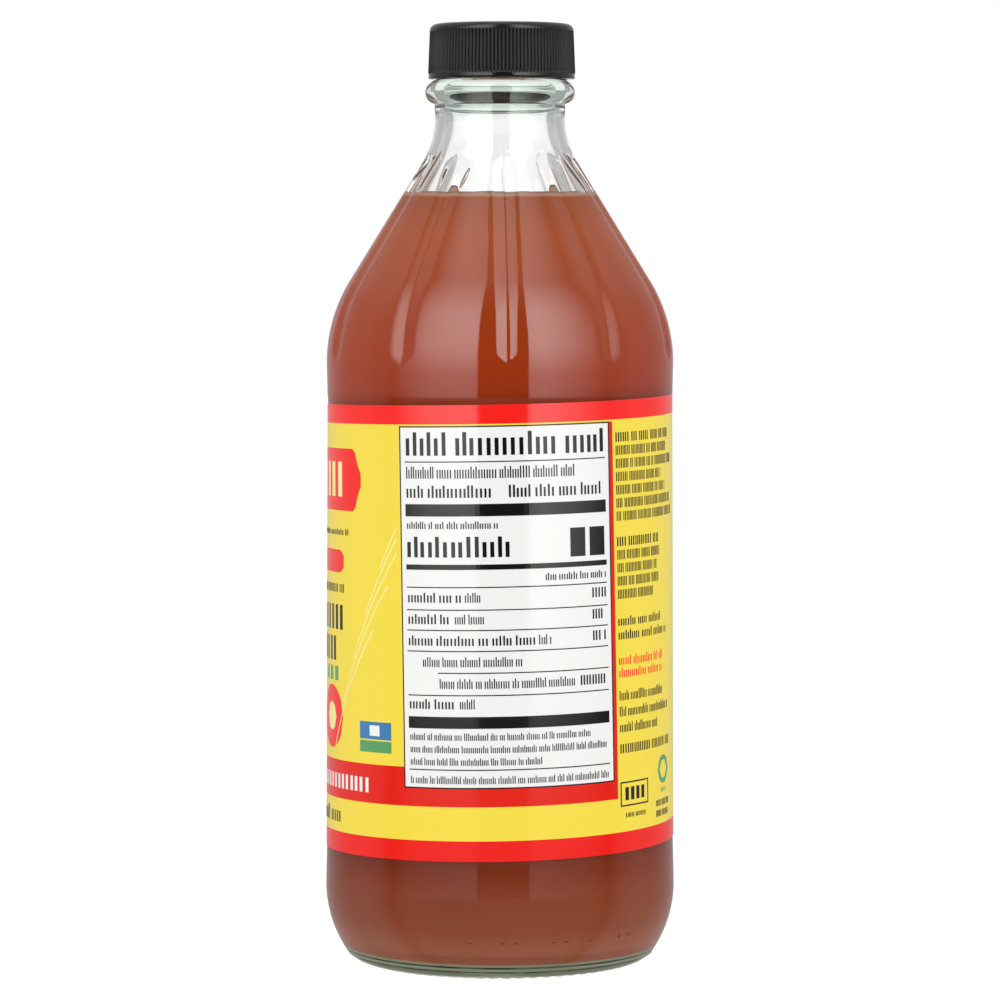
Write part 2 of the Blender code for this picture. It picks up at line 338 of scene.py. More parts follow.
def inner_profile(sink, crest_steps, slope_steps, hollow_steps, heel_steps):
    """Returns the inside of the glass from the middle of its floor up to the neck, pushed out by sink."""
    side = PANEL_BOTTOM_RADIUS - PANEL_WALL + sink
    floor = FLOOR_HEIGHT - sink
    bottom = heel(side, INNER_HEEL_ARC_RADIUS + sink, floor, heel_steps, heel_steps)
    profile = dome(bottom[0][0], floor, FLOOR_RISE, 6)
    profile += bottom
    profile += line(bottom[-1], (side, PANEL_TOP), 4)
    inside = shoulder(lambda height: shoulder_wall(height) - sink, crest_steps, slope_steps, hollow_steps)
    return profile + [point for point in inside if point[1] > PANEL_TOP + 1]


def flute_angles(columns):
    """Returns the columns' angles round the bottle, crowded together at the flutes' creases."""
    angles = []
    for flute in range(FLUTES):
        for column in range(columns):
            share = column / columns
            share -= CREASE_CROWDING * math.sin(math.tau * share) / math.tau
            angles.append(FIRST_CREASE + 360 / FLUTES * (flute + share))
    return angles


def crease_distance(radius, angle):
    """Returns how far a point lies from the nearest crease, round the bottle."""
    pitch = 360 / FLUTES
    off = angle - FIRST_CREASE
    off -= pitch * round(off / pitch)
    return radius * math.radians(off)


def groove_share(height):
    """Returns how much of a groove's depth there is at a height."""
    lower = math.sqrt(smooth(height, GROOVE_BOTTOM, GROOVE_FLOOR))
    return lower * (1 - smooth(height, GROOVE_FULL, GROOVE_TOP))


def press_flutes(radius, angle, height):
    """Presses the V-shaped grooves between the flutes into the outside."""
    share = groove_share(height)
    if share <= 0 or radius < NECK_RADIUS:
        return radius, height
    across = 1 - math.hypot(crease_distance(radius, angle), GROOVE_ROUNDING) / GROOVE_HALF_WIDTH
    depth = share - 1 + across
    depth = (depth + math.hypot(depth, GROOVE_EASE)) / 2 - GROOVE_EASE**2 / 4
    return radius - GROOVE_DEPTH * depth * min(1.0, share * 3), height


def raise_seams(radius, angle, height):
    """Raises the uneven seams of the mould round the lower heel."""
    if height > SEAMS_TOP or radius < SEAMS_FROM_RADIUS:
        return radius, height
    swell = 0.0
    for seam in SEAM_HEIGHTS:
        strength = 0.65 + 0.35 * math.sin(3 * math.radians(angle) + 4 * seam)
        swell += strength * math.exp(-(((height - seam) / SEAM_SPREAD) ** 2))
    return radius + SEAM_SIZE * swell, height


def press_ring(radius, angle, height):
    """Lifts the bearing ring's underside between its grip marks."""
    ring_share = smooth(radius, *RING_INSIDE) * (1 - smooth(radius, *RING_OUTSIDE))
    if ring_share <= 0 or height > RING_TOP:
        return radius, height
    lift = 0.5 - 0.5 * math.cos(math.radians(angle) * RING_TICKS + radius * RING_TICK_LEAN)
    return radius, height + RING_TICK_HEIGHT * ring_share * lift * lift


def bulge_creases(radius, angle, height):
    """Lets the inside of the glass swell in behind the grooves."""
    share = groove_share(height)
    across = crease_distance(radius, angle) / CREASE_BULGE_WIDTH
    return radius - CREASE_BULGE * share * math.exp(-across * across), height


def glass_rule(split):
    """Returns the rule for the glass: its first rows, up to split, are the outside."""
    def rule(row, radius, angle, height):
        if row < split:
            radius, height = raise_seams(radius, angle, height)
            radius, height = press_ring(radius, angle, height)
            return press_flutes(radius, angle, height)
        return bulge_creases(radius, angle, height)
    return rule


def turned(name, profile, angles, rule):
    """Makes a closed turned mesh from a profile that starts and ends on the axis."""
    count = len(angles)
    points = [(0.0, 0.0, profile[0][1] * MM)]
    turns = [(math.cos(math.radians(angle)), math.sin(math.radians(angle))) for angle in angles]
    for row, (radius, height) in enumerate(profile[1:-1], start=1):
        for angle, (east, north) in zip(angles, turns):
            new_radius, new_height = rule(row, radius, angle, height)
            points.append((new_radius * east * MM, new_radius * north * MM, new_height * MM))
    points.append((0.0, 0.0, profile[-1][1] * MM))
    faces = []
    rows = len(profile) - 2
    last = len(points) - 1
    for column in range(count):
        beside = (column + 1) % count
        faces.append((0, 1 + beside, 1 + column))
        for row in range(rows - 1):
            here = 1 + row * count
            above = here + count
            faces.append((here + column, here + beside, above + beside, above + column))
        top = 1 + (rows - 1) * count
        faces.append((top + column, top + beside, last))
    mesh = bpy.data.meshes.new(name)
    mesh.from_pydata(points, [], faces)
    mesh.shade_smooth()
    thing = bpy.data.objects.new(name, mesh)
    bpy.context.scene.collection.objects.link(thing)
    return thing


def new_material(name):
    """Returns an empty node material with its shader and its output."""
    material = bpy.data.materials.new(name)
    material.use_nodes = True
    nodes = material.node_tree.nodes
    return material, nodes, material.node_tree.links, nodes["Principled BSDF"], nodes["Material Output"]


def noise(nodes, links, scale, detail=2.0, stretch=(1.0, 1.0, 1.0)):
    """Returns the value of a noise in the object's own metres; scale is in bumps a metre."""
    place = nodes.new("ShaderNodeTexCoord")
    mapping = nodes.new("ShaderNodeMapping")
    mapping.inputs["Scale"].default_value = stretch
    texture = nodes.new("ShaderNodeTexNoise")
    texture.inputs["Scale"].default_value = scale
    texture.inputs["Detail"].default_value = detail
    links.new(place.outputs["Object"], mapping.inputs["Vector"])
    links.new(mapping.outputs["Vector"], texture.inputs["Vector"])
    return texture.outputs["Fac"]


def blend(nodes, links, share, first, second, target):
    """Mixes two colours by share into a target socket."""
    mix = nodes.new("ShaderNodeMix")
    mix.data_type = "RGBA"
    links.new(share, mix.inputs["Factor"])
    for socket, value in ((mix.inputs[6], first), (mix.inputs[7], second)):
        if isinstance(value, tuple):
            socket.default_value = (*value, 1.0)
        else:
            links.new(value, socket)
    links.new(mix.outputs[2], target)


def spread(nodes, links, value, low, high, to_low, to_high):
    """Maps a value from one range smoothly onto another."""
    node = nodes.new("ShaderNodeMapRange")
    node.interpolation_type = "SMOOTHSTEP"
    links.new(value, node.inputs["Value"])
    node.inputs["From Min"].default_value = low
    node.inputs["From Max"].default_value = high
    node.inputs["To Min"].default_value = to_low
    node.inputs["To Max"].default_value = to_high
    return node.outputs["Result"]


def bump(nodes, links, value, shader, strength, distance):
    """Feeds a value into the shader's normal as a small relief."""
    node = nodes.new("ShaderNodeBump")
    node.inputs["Strength"].default_value = strength
    node.inputs["Distance"].default_value = distance
    links.new(value, node.inputs["Height"])
    links.new(node.outputs["Normal"], shader.inputs["Normal"])


def colour_ramp(nodes, links, height, colours, top):
    """Returns a colour that runs from stop to stop of the height, up to top."""
    rows = nodes.new("ShaderNodeMapRange")
    links.new(height, rows.inputs["Value"])
    rows.inputs["From Max"].default_value = top * MM
    ramp = nodes.new("ShaderNodeValToRGB")
    links.new(rows.outputs["Result"], ramp.inputs["Fac"])
    stops = ramp.color_ramp.elements
    for index, (place, colour) in enumerate(colours):
        stop = stops[index] if index < 2 else stops.new(place / top)
        stop.position = place / top
        stop.color = (*colour, 1.0)
    return ramp.outputs["Color"]


def glass_material():
    """Clear glass, a little green in its thick finish, with a slight waviness."""
    material, nodes, links, shader, output = new_material("clear_glass")
    shader.inputs["Roughness"].default_value = 0.0
    shader.inputs["IOR"].default_value = GLASS_IOR
    shader.inputs["Transmission Weight"].default_value = 1.0
    height = object_height(nodes, links)
    tint = colour_ramp(nodes, links, height, GLASS_COLOURS, LIP_HEIGHT)
    links.new(tint, shader.inputs["Base Color"])
    bump(nodes, links, noise(nodes, links, 120.0, 1.0, (1.0, 1.0, 0.35)), shader, 0.08, 0.0006)
    return material


def vinegar_material():
    """Cloudy reddish amber, with light and shade painted by height: painted shade below the label, where
    less light reaches it, paler up the shoulder as a painted reflection, paler again near the floor, and
    along its edge against the glass a pale band, partly the thin edge's own paler colour and partly a
    painted highlight, under a painted dark line.
    """
    material, nodes, links, shader, output = new_material("cloudy_vinegar")
    shader.inputs["Roughness"].default_value = 0.4
    shader.inputs["IOR"].default_value = 1.34
    shader.inputs["Specular IOR Level"].default_value = 0.0
    # The colour by height carries painted shade and painted highlights as well as the vinegar's own colour.
    body = colour_ramp(nodes, links, object_height(nodes, links), VINEGAR_COLOURS_AND_PAINTED_LIGHT, VINEGAR_RAMP_TOP)
    cloud = spread(nodes, links, noise(nodes, links, 26.0, 3.0, (1.0, 1.0, 0.5)), 0.3, 0.7, 0.96, 1.05)
    shade = nodes.new("ShaderNodeHueSaturation")
    links.new(body, shade.inputs["Color"])
    links.new(cloud, shade.inputs["Value"])
    links.new(shade.outputs["Color"], shader.inputs["Base Color"])
    return material


def base_material():
    """The thick base of the glass, which lets little light through to the camera; its grey green is painted
    for what the thick glass shows by bending and mirroring light, with painted shade along the mould's
    seams.
    """
    material, nodes, links, shader, output = new_material("thick_base")
    shader.inputs["Roughness"].default_value = 0.05
    shader.inputs["IOR"].default_value = GLASS_IOR
    shader.inputs["Transmission Weight"].default_value = 0.15
    painted_base_light = colour_ramp(nodes, links, object_height(nodes, links), BASE_PAINTED_COLOURS, BASE_RAMP_TOP)
    patches = spread(nodes, links, noise(nodes, links, 180.0, 1.0), 0.45, 0.65, 0.0, 0.35)
    blend(nodes, links, patches, painted_base_light, BASE_PAINTED_MEAN_COLOUR, shader.inputs["Base Color"])
    return material


def print_material(name, colour, roughness=0.115):
    """Gloss printed paper in one ink: a faint mottle in its colour and the paper's fibre in its gloss."""
    material, nodes, links, shader, output = new_material(name)
    mottle = noise(nodes, links, 2500.0, 2.0)
    darker = tuple(channel * 0.98 for channel in colour)
    blend(nodes, links, mottle, darker, colour, shader.inputs["Base Color"])
    sheen = spread(nodes, links, mottle, 0.3, 0.7, roughness - 0.01, roughness + 0.01)
    links.new(sheen, shader.inputs["Roughness"])
    bump(nodes, links, noise(nodes, links, 2500.0, 1.0), shader, 0.03, 0.00003)
    return material


def plastic_material():
    """Black moulded plastic with a soft sheen."""
    material, nodes, links, shader, output = new_material("black_plastic")
    grain = noise(nodes, links, 1400.0, 3.0)
    target = shader.inputs["Base Color"]
    blend(nodes, links, grain, (0.006, 0.0057, 0.0057), (0.008, 0.0077, 0.0077), target)
    dullness = colour_ramp(nodes, links, object_height(nodes, links), CAP_DULLNESS, CAP_TOP)
    links.new(dullness, shader.inputs["Roughness"])
    shader.inputs["Specular IOR Level"].default_value = 0.38
    bump(nodes, links, grain, shader, 0.08, 0.00008)
    return material


def object_height(nodes, links):
    """Returns the height in the object's own metres."""
    place = nodes.new("ShaderNodeTexCoord")
    parts = nodes.new("ShaderNodeSeparateXYZ")
    links.new(place.outputs["Object"], parts.inputs["Vector"])
    return parts.outputs["Z"]


def heel_radius(height):
    """Returns the glass's outer radius on the heel's large arc."""
    drop = HEEL_HEIGHT - height
    return FOOT_RADIUS - HEEL_ARC_RADIUS + math.sqrt(HEEL_ARC_RADIUS**2 - drop**2)


def rounded(name, places, sizes, material):
    """Makes small rounded lumps as one piece; each place has a matrix that stands its own axes."""
    points = []
    faces = []
    rings = 8
    sides = 16
    for place in places:
        first = len(points)
        for ring in range(rings + 1):
            polar = math.pi * ring / rings
            for side in range(sides):
                turn = math.tau * side / sides
                lump = Vector((
                    sizes[0] * math.sin(polar) * math.cos(turn),
                    sizes[1] * math.sin(polar) * math.sin(turn),
                    sizes[2] * math.cos(polar),
                ))
                points.append(place @ (lump * MM))
        for ring in range(rings):
            for side in range(sides):
                beside = (side + 1) % sides
                here = first + ring * sides
                faces.append((here + side, here + sides + side, here + sides + beside, here + beside))
    mesh = bpy.data.meshes.new(name)
    mesh.from_pydata(points, [], faces)
    mesh.shade_smooth()
    mesh.materials.append(material)
    thing = bpy.data.objects.new(name, mesh)
    bpy.context.scene.collection.objects.link(thing)
    return thing


def build_marks():
    """Makes the row of small raised marks on the heel."""
    material, nodes, links, shader, output = new_material("raised_glass")
    tone = noise(nodes, links, 300.0)
    blend(nodes, links, tone, (0.20, 0.028, 0.003), (0.22, 0.032, 0.004), shader.inputs["Base Color"])
    shader.inputs["Roughness"].default_value = 0.05
    shader.inputs["IOR"].default_value = GLASS_IOR
    radius = heel_radius(MARK_HEIGHT)
    lean = math.asin((HEEL_HEIGHT - MARK_HEIGHT) / HEEL_ARC_RADIUS)
    places = []
    for across in MARKS_ACROSS:
        turn = math.asin(across / radius)
        spot = Vector((across, -radius * math.cos(turn), MARK_HEIGHT)) * MM
        stand = Matrix.Rotation(turn, 4, "Z") @ Matrix.Rotation(lean, 4, "X")
        places.append(Matrix.Translation(spot) @ stand)
    return rounded("heel_marks", places, (MARK_SIZE, MARK_RISE, MARK_SIZE), material)


def build_bubble():
    """Makes the long air bubble shut in the wall of the neck."""
    material, nodes, links, shader, output = new_material("air_bubble")
    shader.inputs["Base Color"].default_value = (1.0, 1.0, 1.0, 1.0)
    shader.inputs["Roughness"].default_value = 0.0
    shader.inputs["IOR"].default_value = 0.66
    shader.inputs["Transmission Weight"].default_value = 1.0
    place, length = along_wall(BUBBLE_TOP, BUBBLE_FOOT)
    sizes = (BUBBLE_RADIUS, BUBBLE_RADIUS, length / 2)
    bubble = rounded("neck_bubble", [place], sizes, material)
    bubble.visible_shadow = False
    bubble.visible_diffuse = False
    return bubble


def build_painted_reflection_runs():
    """Makes the brown runs in the grooves above the vinegar's surface, painted where the wall reflects and
    bends the vinegar's colour.
    """
    material, nodes, links, shader, output = new_material("painted_vinegar_reflection")
    tone = noise(nodes, links, 500.0, 2.0, (1.0, 1.0, 0.3))
    blend(nodes, links, tone, (0.14, 0.055, 0.028), (0.27, 0.085, 0.040), shader.inputs["Base Color"])
    shader.inputs["Roughness"].default_value = 0.4
    shader.inputs["Specular IOR Level"].default_value = 0.0
    reflection_runs = []
    for index, (top, foot) in enumerate(PAINTED_REFLECTION_RUNS):
        place, length = along_wall(top, foot)
        sizes = (PAINTED_REFLECTION_RADIUS, PAINTED_REFLECTION_RADIUS * 0.5, length / 2)
        reflection_runs.append(rounded(f"painted_vinegar_reflection_{index}", [place], sizes, material))
    return reflection_runs


def along_wall(top, foot):
    """Returns the matrix and length of something long in the front wall; its ends are (across, height)."""
    ends = []
    for across, height in (top, foot):
        radius = shoulder_radius(height) - WALL_MIDDLE
        depth = math.sqrt(max(0.0, radius * radius - across * across))
        ends.append(Vector((across, -depth, height)) * MM)
    along = ends[0] - ends[1]
    place = Matrix.Translation((ends[0] + ends[1]) / 2) @ along.to_track_quat("Z", "Y").to_matrix().to_4x4()
    return place, along.length / MM


def shoulder_radius(height):
    """Returns the glass's outer radius at a height of the shoulder or neck."""
    points = shoulder(lambda place: 0.0, 22, 16, 14)
    for (low_radius, low), (high_radius, high) in zip(points, points[1:]):
        if low <= height <= high:
            return low_radius + (high_radius - low_radius) * (height - low) / (high - low)
    return NECK_RADIUS


def build_glass():
    """Makes the bottle as one closed mesh, from the middle of its base over its lip to its floor."""
    outside = outer_profile()
    inside = inner_profile(0.0, 14, 10, 10, 9)
    inside.append((inside[-1][0], LIP_HEIGHT))
    profile = outside + inside[::-1]
    glass = turned("bottle_glass", profile, flute_angles(FLUTE_COLUMNS), glass_rule(len(outside)))
    glass.data.set_sharp_from_angle(angle=math.radians(50))
    glass.data.materials.append(glass_material())
    glass.data.materials.append(base_material())
    # Faces low on the base take the thick base's painted grey green and painted seam shade.
    for face in glass.data.polygons:
        if face.center.z < BASE_TOP * MM:
            face.material_index = 1
    glass.visible_shadow = False
    glass.visible_diffuse = False
    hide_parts("glass_bottle")
    return glass


def build_vinegar():
    """Makes the vinegar, which reaches just into the wall so that no air shows between them."""
    below = [point for point in inner_profile(VINEGAR_SINK, 14, 24, 10, 9) if point[1] < FILL_HEIGHT - 1]
    edge_radius = below[-1][0] - (FILL_HEIGHT - below[-1][1]) * math.tan(math.radians(SLOPE_DEGREES))
    profile = list(below)
    for step in range(5):
        share = 1 - step / 4
        radius = edge_radius - MENISCUS_WIDTH * (1 - share)
        if step == 0:
            radius -= MENISCUS_RISE * math.tan(math.radians(SLOPE_DEGREES))
        profile.append((radius, FILL_HEIGHT + MENISCUS_RISE * share ** 3))
    profile += [(edge_radius * 0.5, FILL_HEIGHT), (0.0, FILL_HEIGHT)]
    def rule(row, radius, angle, height):
        return bulge_creases(radius, angle, height)
    vinegar = turned("vinegar_body", profile, flute_angles(FLUTE_COLUMNS // 2), rule)
    vinegar.data.set_sharp_from_angle(angle=math.radians(50))
    vinegar.data.materials.append(vinegar_material())
    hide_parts("vinegar")
    return vinegar


def cap_rule(row, radius, angle, height):
    """Presses the grooves between the cap's ribs into its side."""
    if radius < CAP_BORE_RADIUS + CAP_SIDE_MARGIN:
        return radius, height
    foot = smooth(height, CAP_BAND_TOP, CAP_BAND_TOP + CAP_RIB_RUN_OUT)
    head = 1 - smooth(height, CAP_RIM_HEIGHT - CAP_RIB_RUN_OUT, CAP_RIM_HEIGHT)
    across = abs(math.sin(math.radians(angle) * CAP_RIBS / 2))
    return radius - CAP_RIB_DEPTH * foot * head * (1 - across), height


def build_cap():
    """Makes the screw cap: a shell with rounded ribs, a plain band below them and an eased top edge."""
    profile = [
        (0.0, CAP_BORE_TOP),
        (CAP_BORE_RADIUS - CAP_TOP_CORNER, CAP_BORE_TOP),
        (CAP_BORE_RADIUS, CAP_BORE_TOP - CAP_TOP_CORNER),
        (CAP_BORE_RADIUS, CAP_BOTTOM + CAP_MOUTH_BEVEL),
        (CAP_BORE_RADIUS + CAP_MOUTH_BEVEL, CAP_BOTTOM),
        (CAP_BAND_RADIUS - CAP_FOOT_BEVEL, CAP_BOTTOM),
        (CAP_BAND_RADIUS, CAP_BOTTOM + CAP_FOOT_BEVEL),
    ]
    profile += line(profile[-1], (CAP_BAND_TOP_RADIUS, CAP_BAND_TOP), 3)
    ribs_foot = (CAP_WIDEST_RADIUS, CAP_BAND_TOP + CAP_RIB_RUN_OUT)
    profile += line(profile[-1], ribs_foot, 3)
    profile += line(ribs_foot, (CAP_RIM_RADIUS, CAP_RIM_HEIGHT - CAP_RIB_RUN_OUT), 4)
    profile += line(profile[-1], (CAP_RIM_RADIUS, CAP_RIM_HEIGHT), 3)
    for step in range(1, 11):
        angle = math.radians(90 * step / 10)
        radius = CAP_TOP_RADIUS + (CAP_RIM_RADIUS - CAP_TOP_RADIUS) * math.cos(angle)
        profile.append((radius, CAP_RIM_HEIGHT + (CAP_TOP - CAP_RIM_HEIGHT) * math.sin(angle)))
    profile += [(CAP_TOP_RADIUS * 0.5, CAP_TOP), (0.0, CAP_TOP)]
    columns = CAP_RIBS * CAP_RIB_COLUMNS
    angles = [360 * column / columns for column in range(columns)]
    cap = turned("cap_shell", profile, angles, cap_rule)
    cap.data.set_sharp_from_angle(angle=math.radians(60))
    cap.location.x = CAP_OFFSET * MM
    cap.data.materials.append(plastic_material())
    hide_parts("screw_cap")
    return cap


def on_label(across, up, rise):
    """Returns the place of a point of the label, rise outside the glass, in metres."""
    slant = math.radians(LABEL_SLANT)
    round_way = across * math.cos(slant) - (up - LABEL_MIDDLE) * math.sin(slant)
    height = LABEL_MIDDLE + across * math.sin(slant) + (up - LABEL_MIDDLE) * math.cos(slant)
    turn = round_way / LABEL_RADIUS
    radius = panel_radius(height) + rise
    return (radius * math.sin(turn) * MM, -radius * math.cos(turn) * MM, height * MM)


def steps_between(start, end):
    """Returns places from start to end, no further apart than the paper's step."""
    count = max(1, math.ceil((end - start) / PAPER_STEP))
    return [start + (end - start) * step / count for step in range(count + 1)]


# Fields of the label
TOP_RED = 111.0
PANEL_LEFT = -20.45
PANEL_RIGHT = 24.0
PANEL_HIGH = 110.67
PANEL_LOW = 39.03
BAND_HIGH_LEFT = 43.2
BAND_LOW = 35.42
BAND_RIGHT = 24.9
FOOT_RED = 28.67
BORDER = 0.27
PLAIN_ROWS = (60.0, 85.0)


def field(across, up):
    """Returns which ink covers the paper there: 0 yellow, 1 red, 2 white, 3 deep red or 4 low red."""
    if up > TOP_RED:
        return 1
    if up < FOOT_RED:
        return 4
    if PANEL_LEFT < across < PANEL_RIGHT and PANEL_LOW < up < PANEL_HIGH:
        return 2
    if across < PANEL_LEFT and BAND_LOW < up < BAND_HIGH_LEFT:
        return 3
    if PANEL_LEFT < across < BAND_RIGHT and BAND_LOW < up < PANEL_HIGH:
        return 3
    return 0


def build_label(inks):
    """Makes the paper as a closed strip, with the faces' inks set by its fields."""
    columns = []
    stops = [-LABEL_HALF_LENGTH, PANEL_LEFT, PANEL_RIGHT, BAND_RIGHT, LABEL_HALF_LENGTH]
    for start, end in zip(stops, stops[1:]):
        columns += steps_between(start, end)[:-1]
    columns.append(LABEL_HALF_LENGTH)
    rows = [LABEL_LOW, FOOT_RED, BAND_LOW, PANEL_LOW, BAND_HIGH_LEFT, *PLAIN_ROWS]
    rows += [PANEL_HIGH, TOP_RED, LABEL_HIGH]
    points = []
    for rise in (PAPER_OUTSIDE, PAPER_INSIDE):
        for up in rows:
            points += [on_label(across, up, rise) for across in columns]
    wide = len(columns)
    back = wide * len(rows)
    faces = []
    colours = []
    for row in range(len(rows) - 1):
        for column in range(wide - 1):
            corner = row * wide + column
            face = (corner, corner + 1, corner + 1 + wide, corner + wide)
            middle_across = (columns[column] + columns[column + 1]) / 2
            faces.append(face)
            colours.append(field(middle_across, (rows[row] + rows[row + 1]) / 2))
            faces.append(tuple(back + index for index in face[::-1]))
            colours.append(2)
    top = (len(rows) - 1) * wide
    for column in range(wide - 1):
        faces.append((column + 1, column, back + column, back + column + 1))
        faces.append((top + column, top + column + 1, back + top + column + 1, back + top + column))
        colours += [2, 2]
    for row in range(len(rows) - 1):
        left = row * wide
        right = left + wide - 1
        faces.append((left, left + wide, back + left + wide, back + left))
        faces.append((right + wide, right, back + right, back + right + wide))
        colours += [2, 2]
    mesh = bpy.data.meshes.new("label_paper")
    mesh.from_pydata(points, [], faces)
    for ink in ("yellow", "red", "white", "deep_red", "low_red"):
        mesh.materials.append(inks[ink])
    mesh.polygons.foreach_set("material_index", colours)
    mesh.shade_smooth()
    mesh.set_sharp_from_angle(angle=math.radians(50))
    label = bpy.data.objects.new("label_paper", mesh)
    bpy.context.scene.collection.objects.link(label)
    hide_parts("label")
    return label


class Print:
    """One ink's shapes on the label, each a thin closed patch that follows the paper."""

    def __init__(self, level=1):
        self.points = []
        self.faces = []
        self.level = level

    def patch(self, left, right, low, high):
        """Adds the shape between low and high, each a number or a rule of the place across."""
        low_rule = low if callable(low) else lambda across: low
        high_rule = high if callable(high) else lambda across: high
        places = steps_between(left, right)
        first = len(self.points)
        rise = PAPER_OUTSIDE + INK_RISE * self.level
        for across in places:
            bottom = low_rule(across)
            top = max(high_rule(across), bottom + 0.01)
            self.points += [
                on_label(across, bottom, rise),
                on_label(across, top, rise),
                on_label(across, bottom, PAPER_OUTSIDE - INK_RISE),
                on_label(across, top, PAPER_OUTSIDE - INK_RISE),
            ]
        for step in range(len(places) - 1):
            here = first + 4 * step
            beside = here + 4
            self.faces += [
                (here, beside, beside + 1, here + 1),
                (here + 2, here + 3, beside + 3, beside + 2),
                (here, here + 2, beside + 2, beside),
                (here + 1, beside + 1, beside + 3, here + 3),
            ]
        end = first + 4 * (len(places) - 1)
        self.faces += [(first, first + 1, first + 3, first + 2), (end, end + 2, end + 3, end + 1)]

    def frame(self, left, right, low, high, width):
        """Adds an outlined box."""
        self.patch(left, right, low, low + width)
        self.patch(left, right, high - width, high)
        self.patch(left, left + width, low + width, high - width)
        self.patch(right - width, right, low + width, high - width)

    def oval(self, middle, height, half_width, half_height, lean=0.0):
        """Adds an oval whose middle line leans."""
        def half(across):
            share = min(1.0, abs((across - middle) / half_width))
            return half_height * math.sqrt(1 - share * share)
        def centre(across):
            return height + lean * (across - middle)
        self.patch(
            middle - half_width,
            middle + half_width,
            lambda across: centre(across) - half(across),
            lambda across: centre(across) + half(across),
        )

    def words(self, left, right, base, height, stroke, seed, density=1.0, capitals=False):
        """Adds a line of plain upright strokes, grouped like words."""
        draw = random.Random(seed)
        place = left
        while place < right - stroke:
            for letter in range(draw.randint(2, 8)):
                for stem in range(draw.choice((1, 2, 2))):
                    if place > right - stroke:
                        break
                    tall = capitals or draw.random() < 0.28
                    top = height if tall else height * 0.74
                    self.patch(place, place + stroke, base, base + top)
                    place += stroke * (1.0 + draw.uniform(0.75, 1.15) / density)
            place += stroke * 1.6

    def build(self, name, material):
        """Turns the shapes into a piece of their own."""
        mesh = bpy.data.meshes.new(name)
        mesh.from_pydata(self.points, [], self.faces)
        mesh.materials.append(material)
        thing = bpy.data.objects.new(name, mesh)
        bpy.context.scene.collection.objects.link(thing)
        return thing


# Facts panel: the ends of its rules and the places of its lines
RULE_LEFT = -19.2
RULE_RIGHT = 22.9
TEXT_LEFT = -18.9
RULE_WIDTH = 0.22
THICK_BARS = ((92.87, 95.29), (50.96, 53.30))
MEDIUM_BAR = (82.34, 83.37)
RULES = (103.6, 78.86, 74.40, 70.39, 66.24, 57.52, 42.77)
INDENTED_RULE = 61.94
ROW_HEIGHT = 1.95

# Ring right of the panel
RING_ACROSS = 41.3
RING_UP = 39.6
RING_SIZE = 2.9
RING_HOLE = 1.9


def print_panel(black):
    """Prints the facts panel: its border, bars, rules and lines."""
    black.frame(PANEL_LEFT, PANEL_RIGHT, PANEL_LOW, PANEL_HIGH, BORDER)
    black.words(TEXT_LEFT, 22.7, 104.85, 4.62, 0.8, 1)
    black.words(TEXT_LEFT, 15.8, 100.33, 2.35, 0.27, 2)
    black.words(TEXT_LEFT, -0.9, 96.54, 2.43, 0.42, 3)
    black.words(2.3, 22.0, 96.54, 2.43, 0.42, 4)
    for low, high in THICK_BARS + (MEDIUM_BAR,):
        black.patch(RULE_LEFT, RULE_RIGHT, low, high)
    for height in RULES:
        black.patch(RULE_LEFT, RULE_RIGHT, height - RULE_WIDTH / 2, height + RULE_WIDTH / 2)
    black.patch(-12.6, RULE_RIGHT, INDENTED_RULE - RULE_WIDTH / 2, INDENTED_RULE + RULE_WIDTH / 2)
    black.words(TEXT_LEFT, 0.4, 90.40, 1.44, 0.25, 5)
    black.words(TEXT_LEFT, 2.5, 84.79, 4.08, 0.8, 6)
    black.patch(14.6, 17.9, 84.4, 90.1)
    black.patch(18.9, 22.4, 84.4, 90.1)
    black.words(9.3, 22.8, 79.95, 1.5, 0.26, 7)
    rows = (
        (75.87, -7.5, -3.6, 19.3),
        (71.61, -9.6, -2.5, 19.3),
        (67.35, 7.0, 10.6, 19.3),
        (54.82, -8.9, -5.0, None),
    )
    for index, (base, bold_end, end, value_start) in enumerate(rows):
        black.words(TEXT_LEFT, bold_end, base, ROW_HEIGHT, 0.36, 10 + index)
        black.words(bold_end + 0.7, end, base, ROW_HEIGHT, 0.24, 20 + index)
        if value_start:
            black.words(value_start, 22.8, base + 0.2, ROW_HEIGHT, 0.36, 30 + index, capitals=True)
    black.words(-15.8, 4.6, 63.15, ROW_HEIGHT, 0.24, 40)
    black.words(-12.3, 15.4, 58.86, ROW_HEIGHT, 0.24, 41)
    black.words(16.3, 22.4, 58.86, ROW_HEIGHT, 0.36, 42, capitals=True)
    for index, end in enumerate((18.3, 22.4, 8.2)):
        black.words(TEXT_LEFT, end, 48.60 - 2.47 * index, 1.45, 0.2, 50 + index)
    black.words(TEXT_LEFT, 22.5, 40.01, 1.5, 0.2, 55)


def half_chord(off, size):
    """Returns how far a circle reaches to either side, off from its middle."""
    return math.sqrt(max(0.0, size * size - off * off))


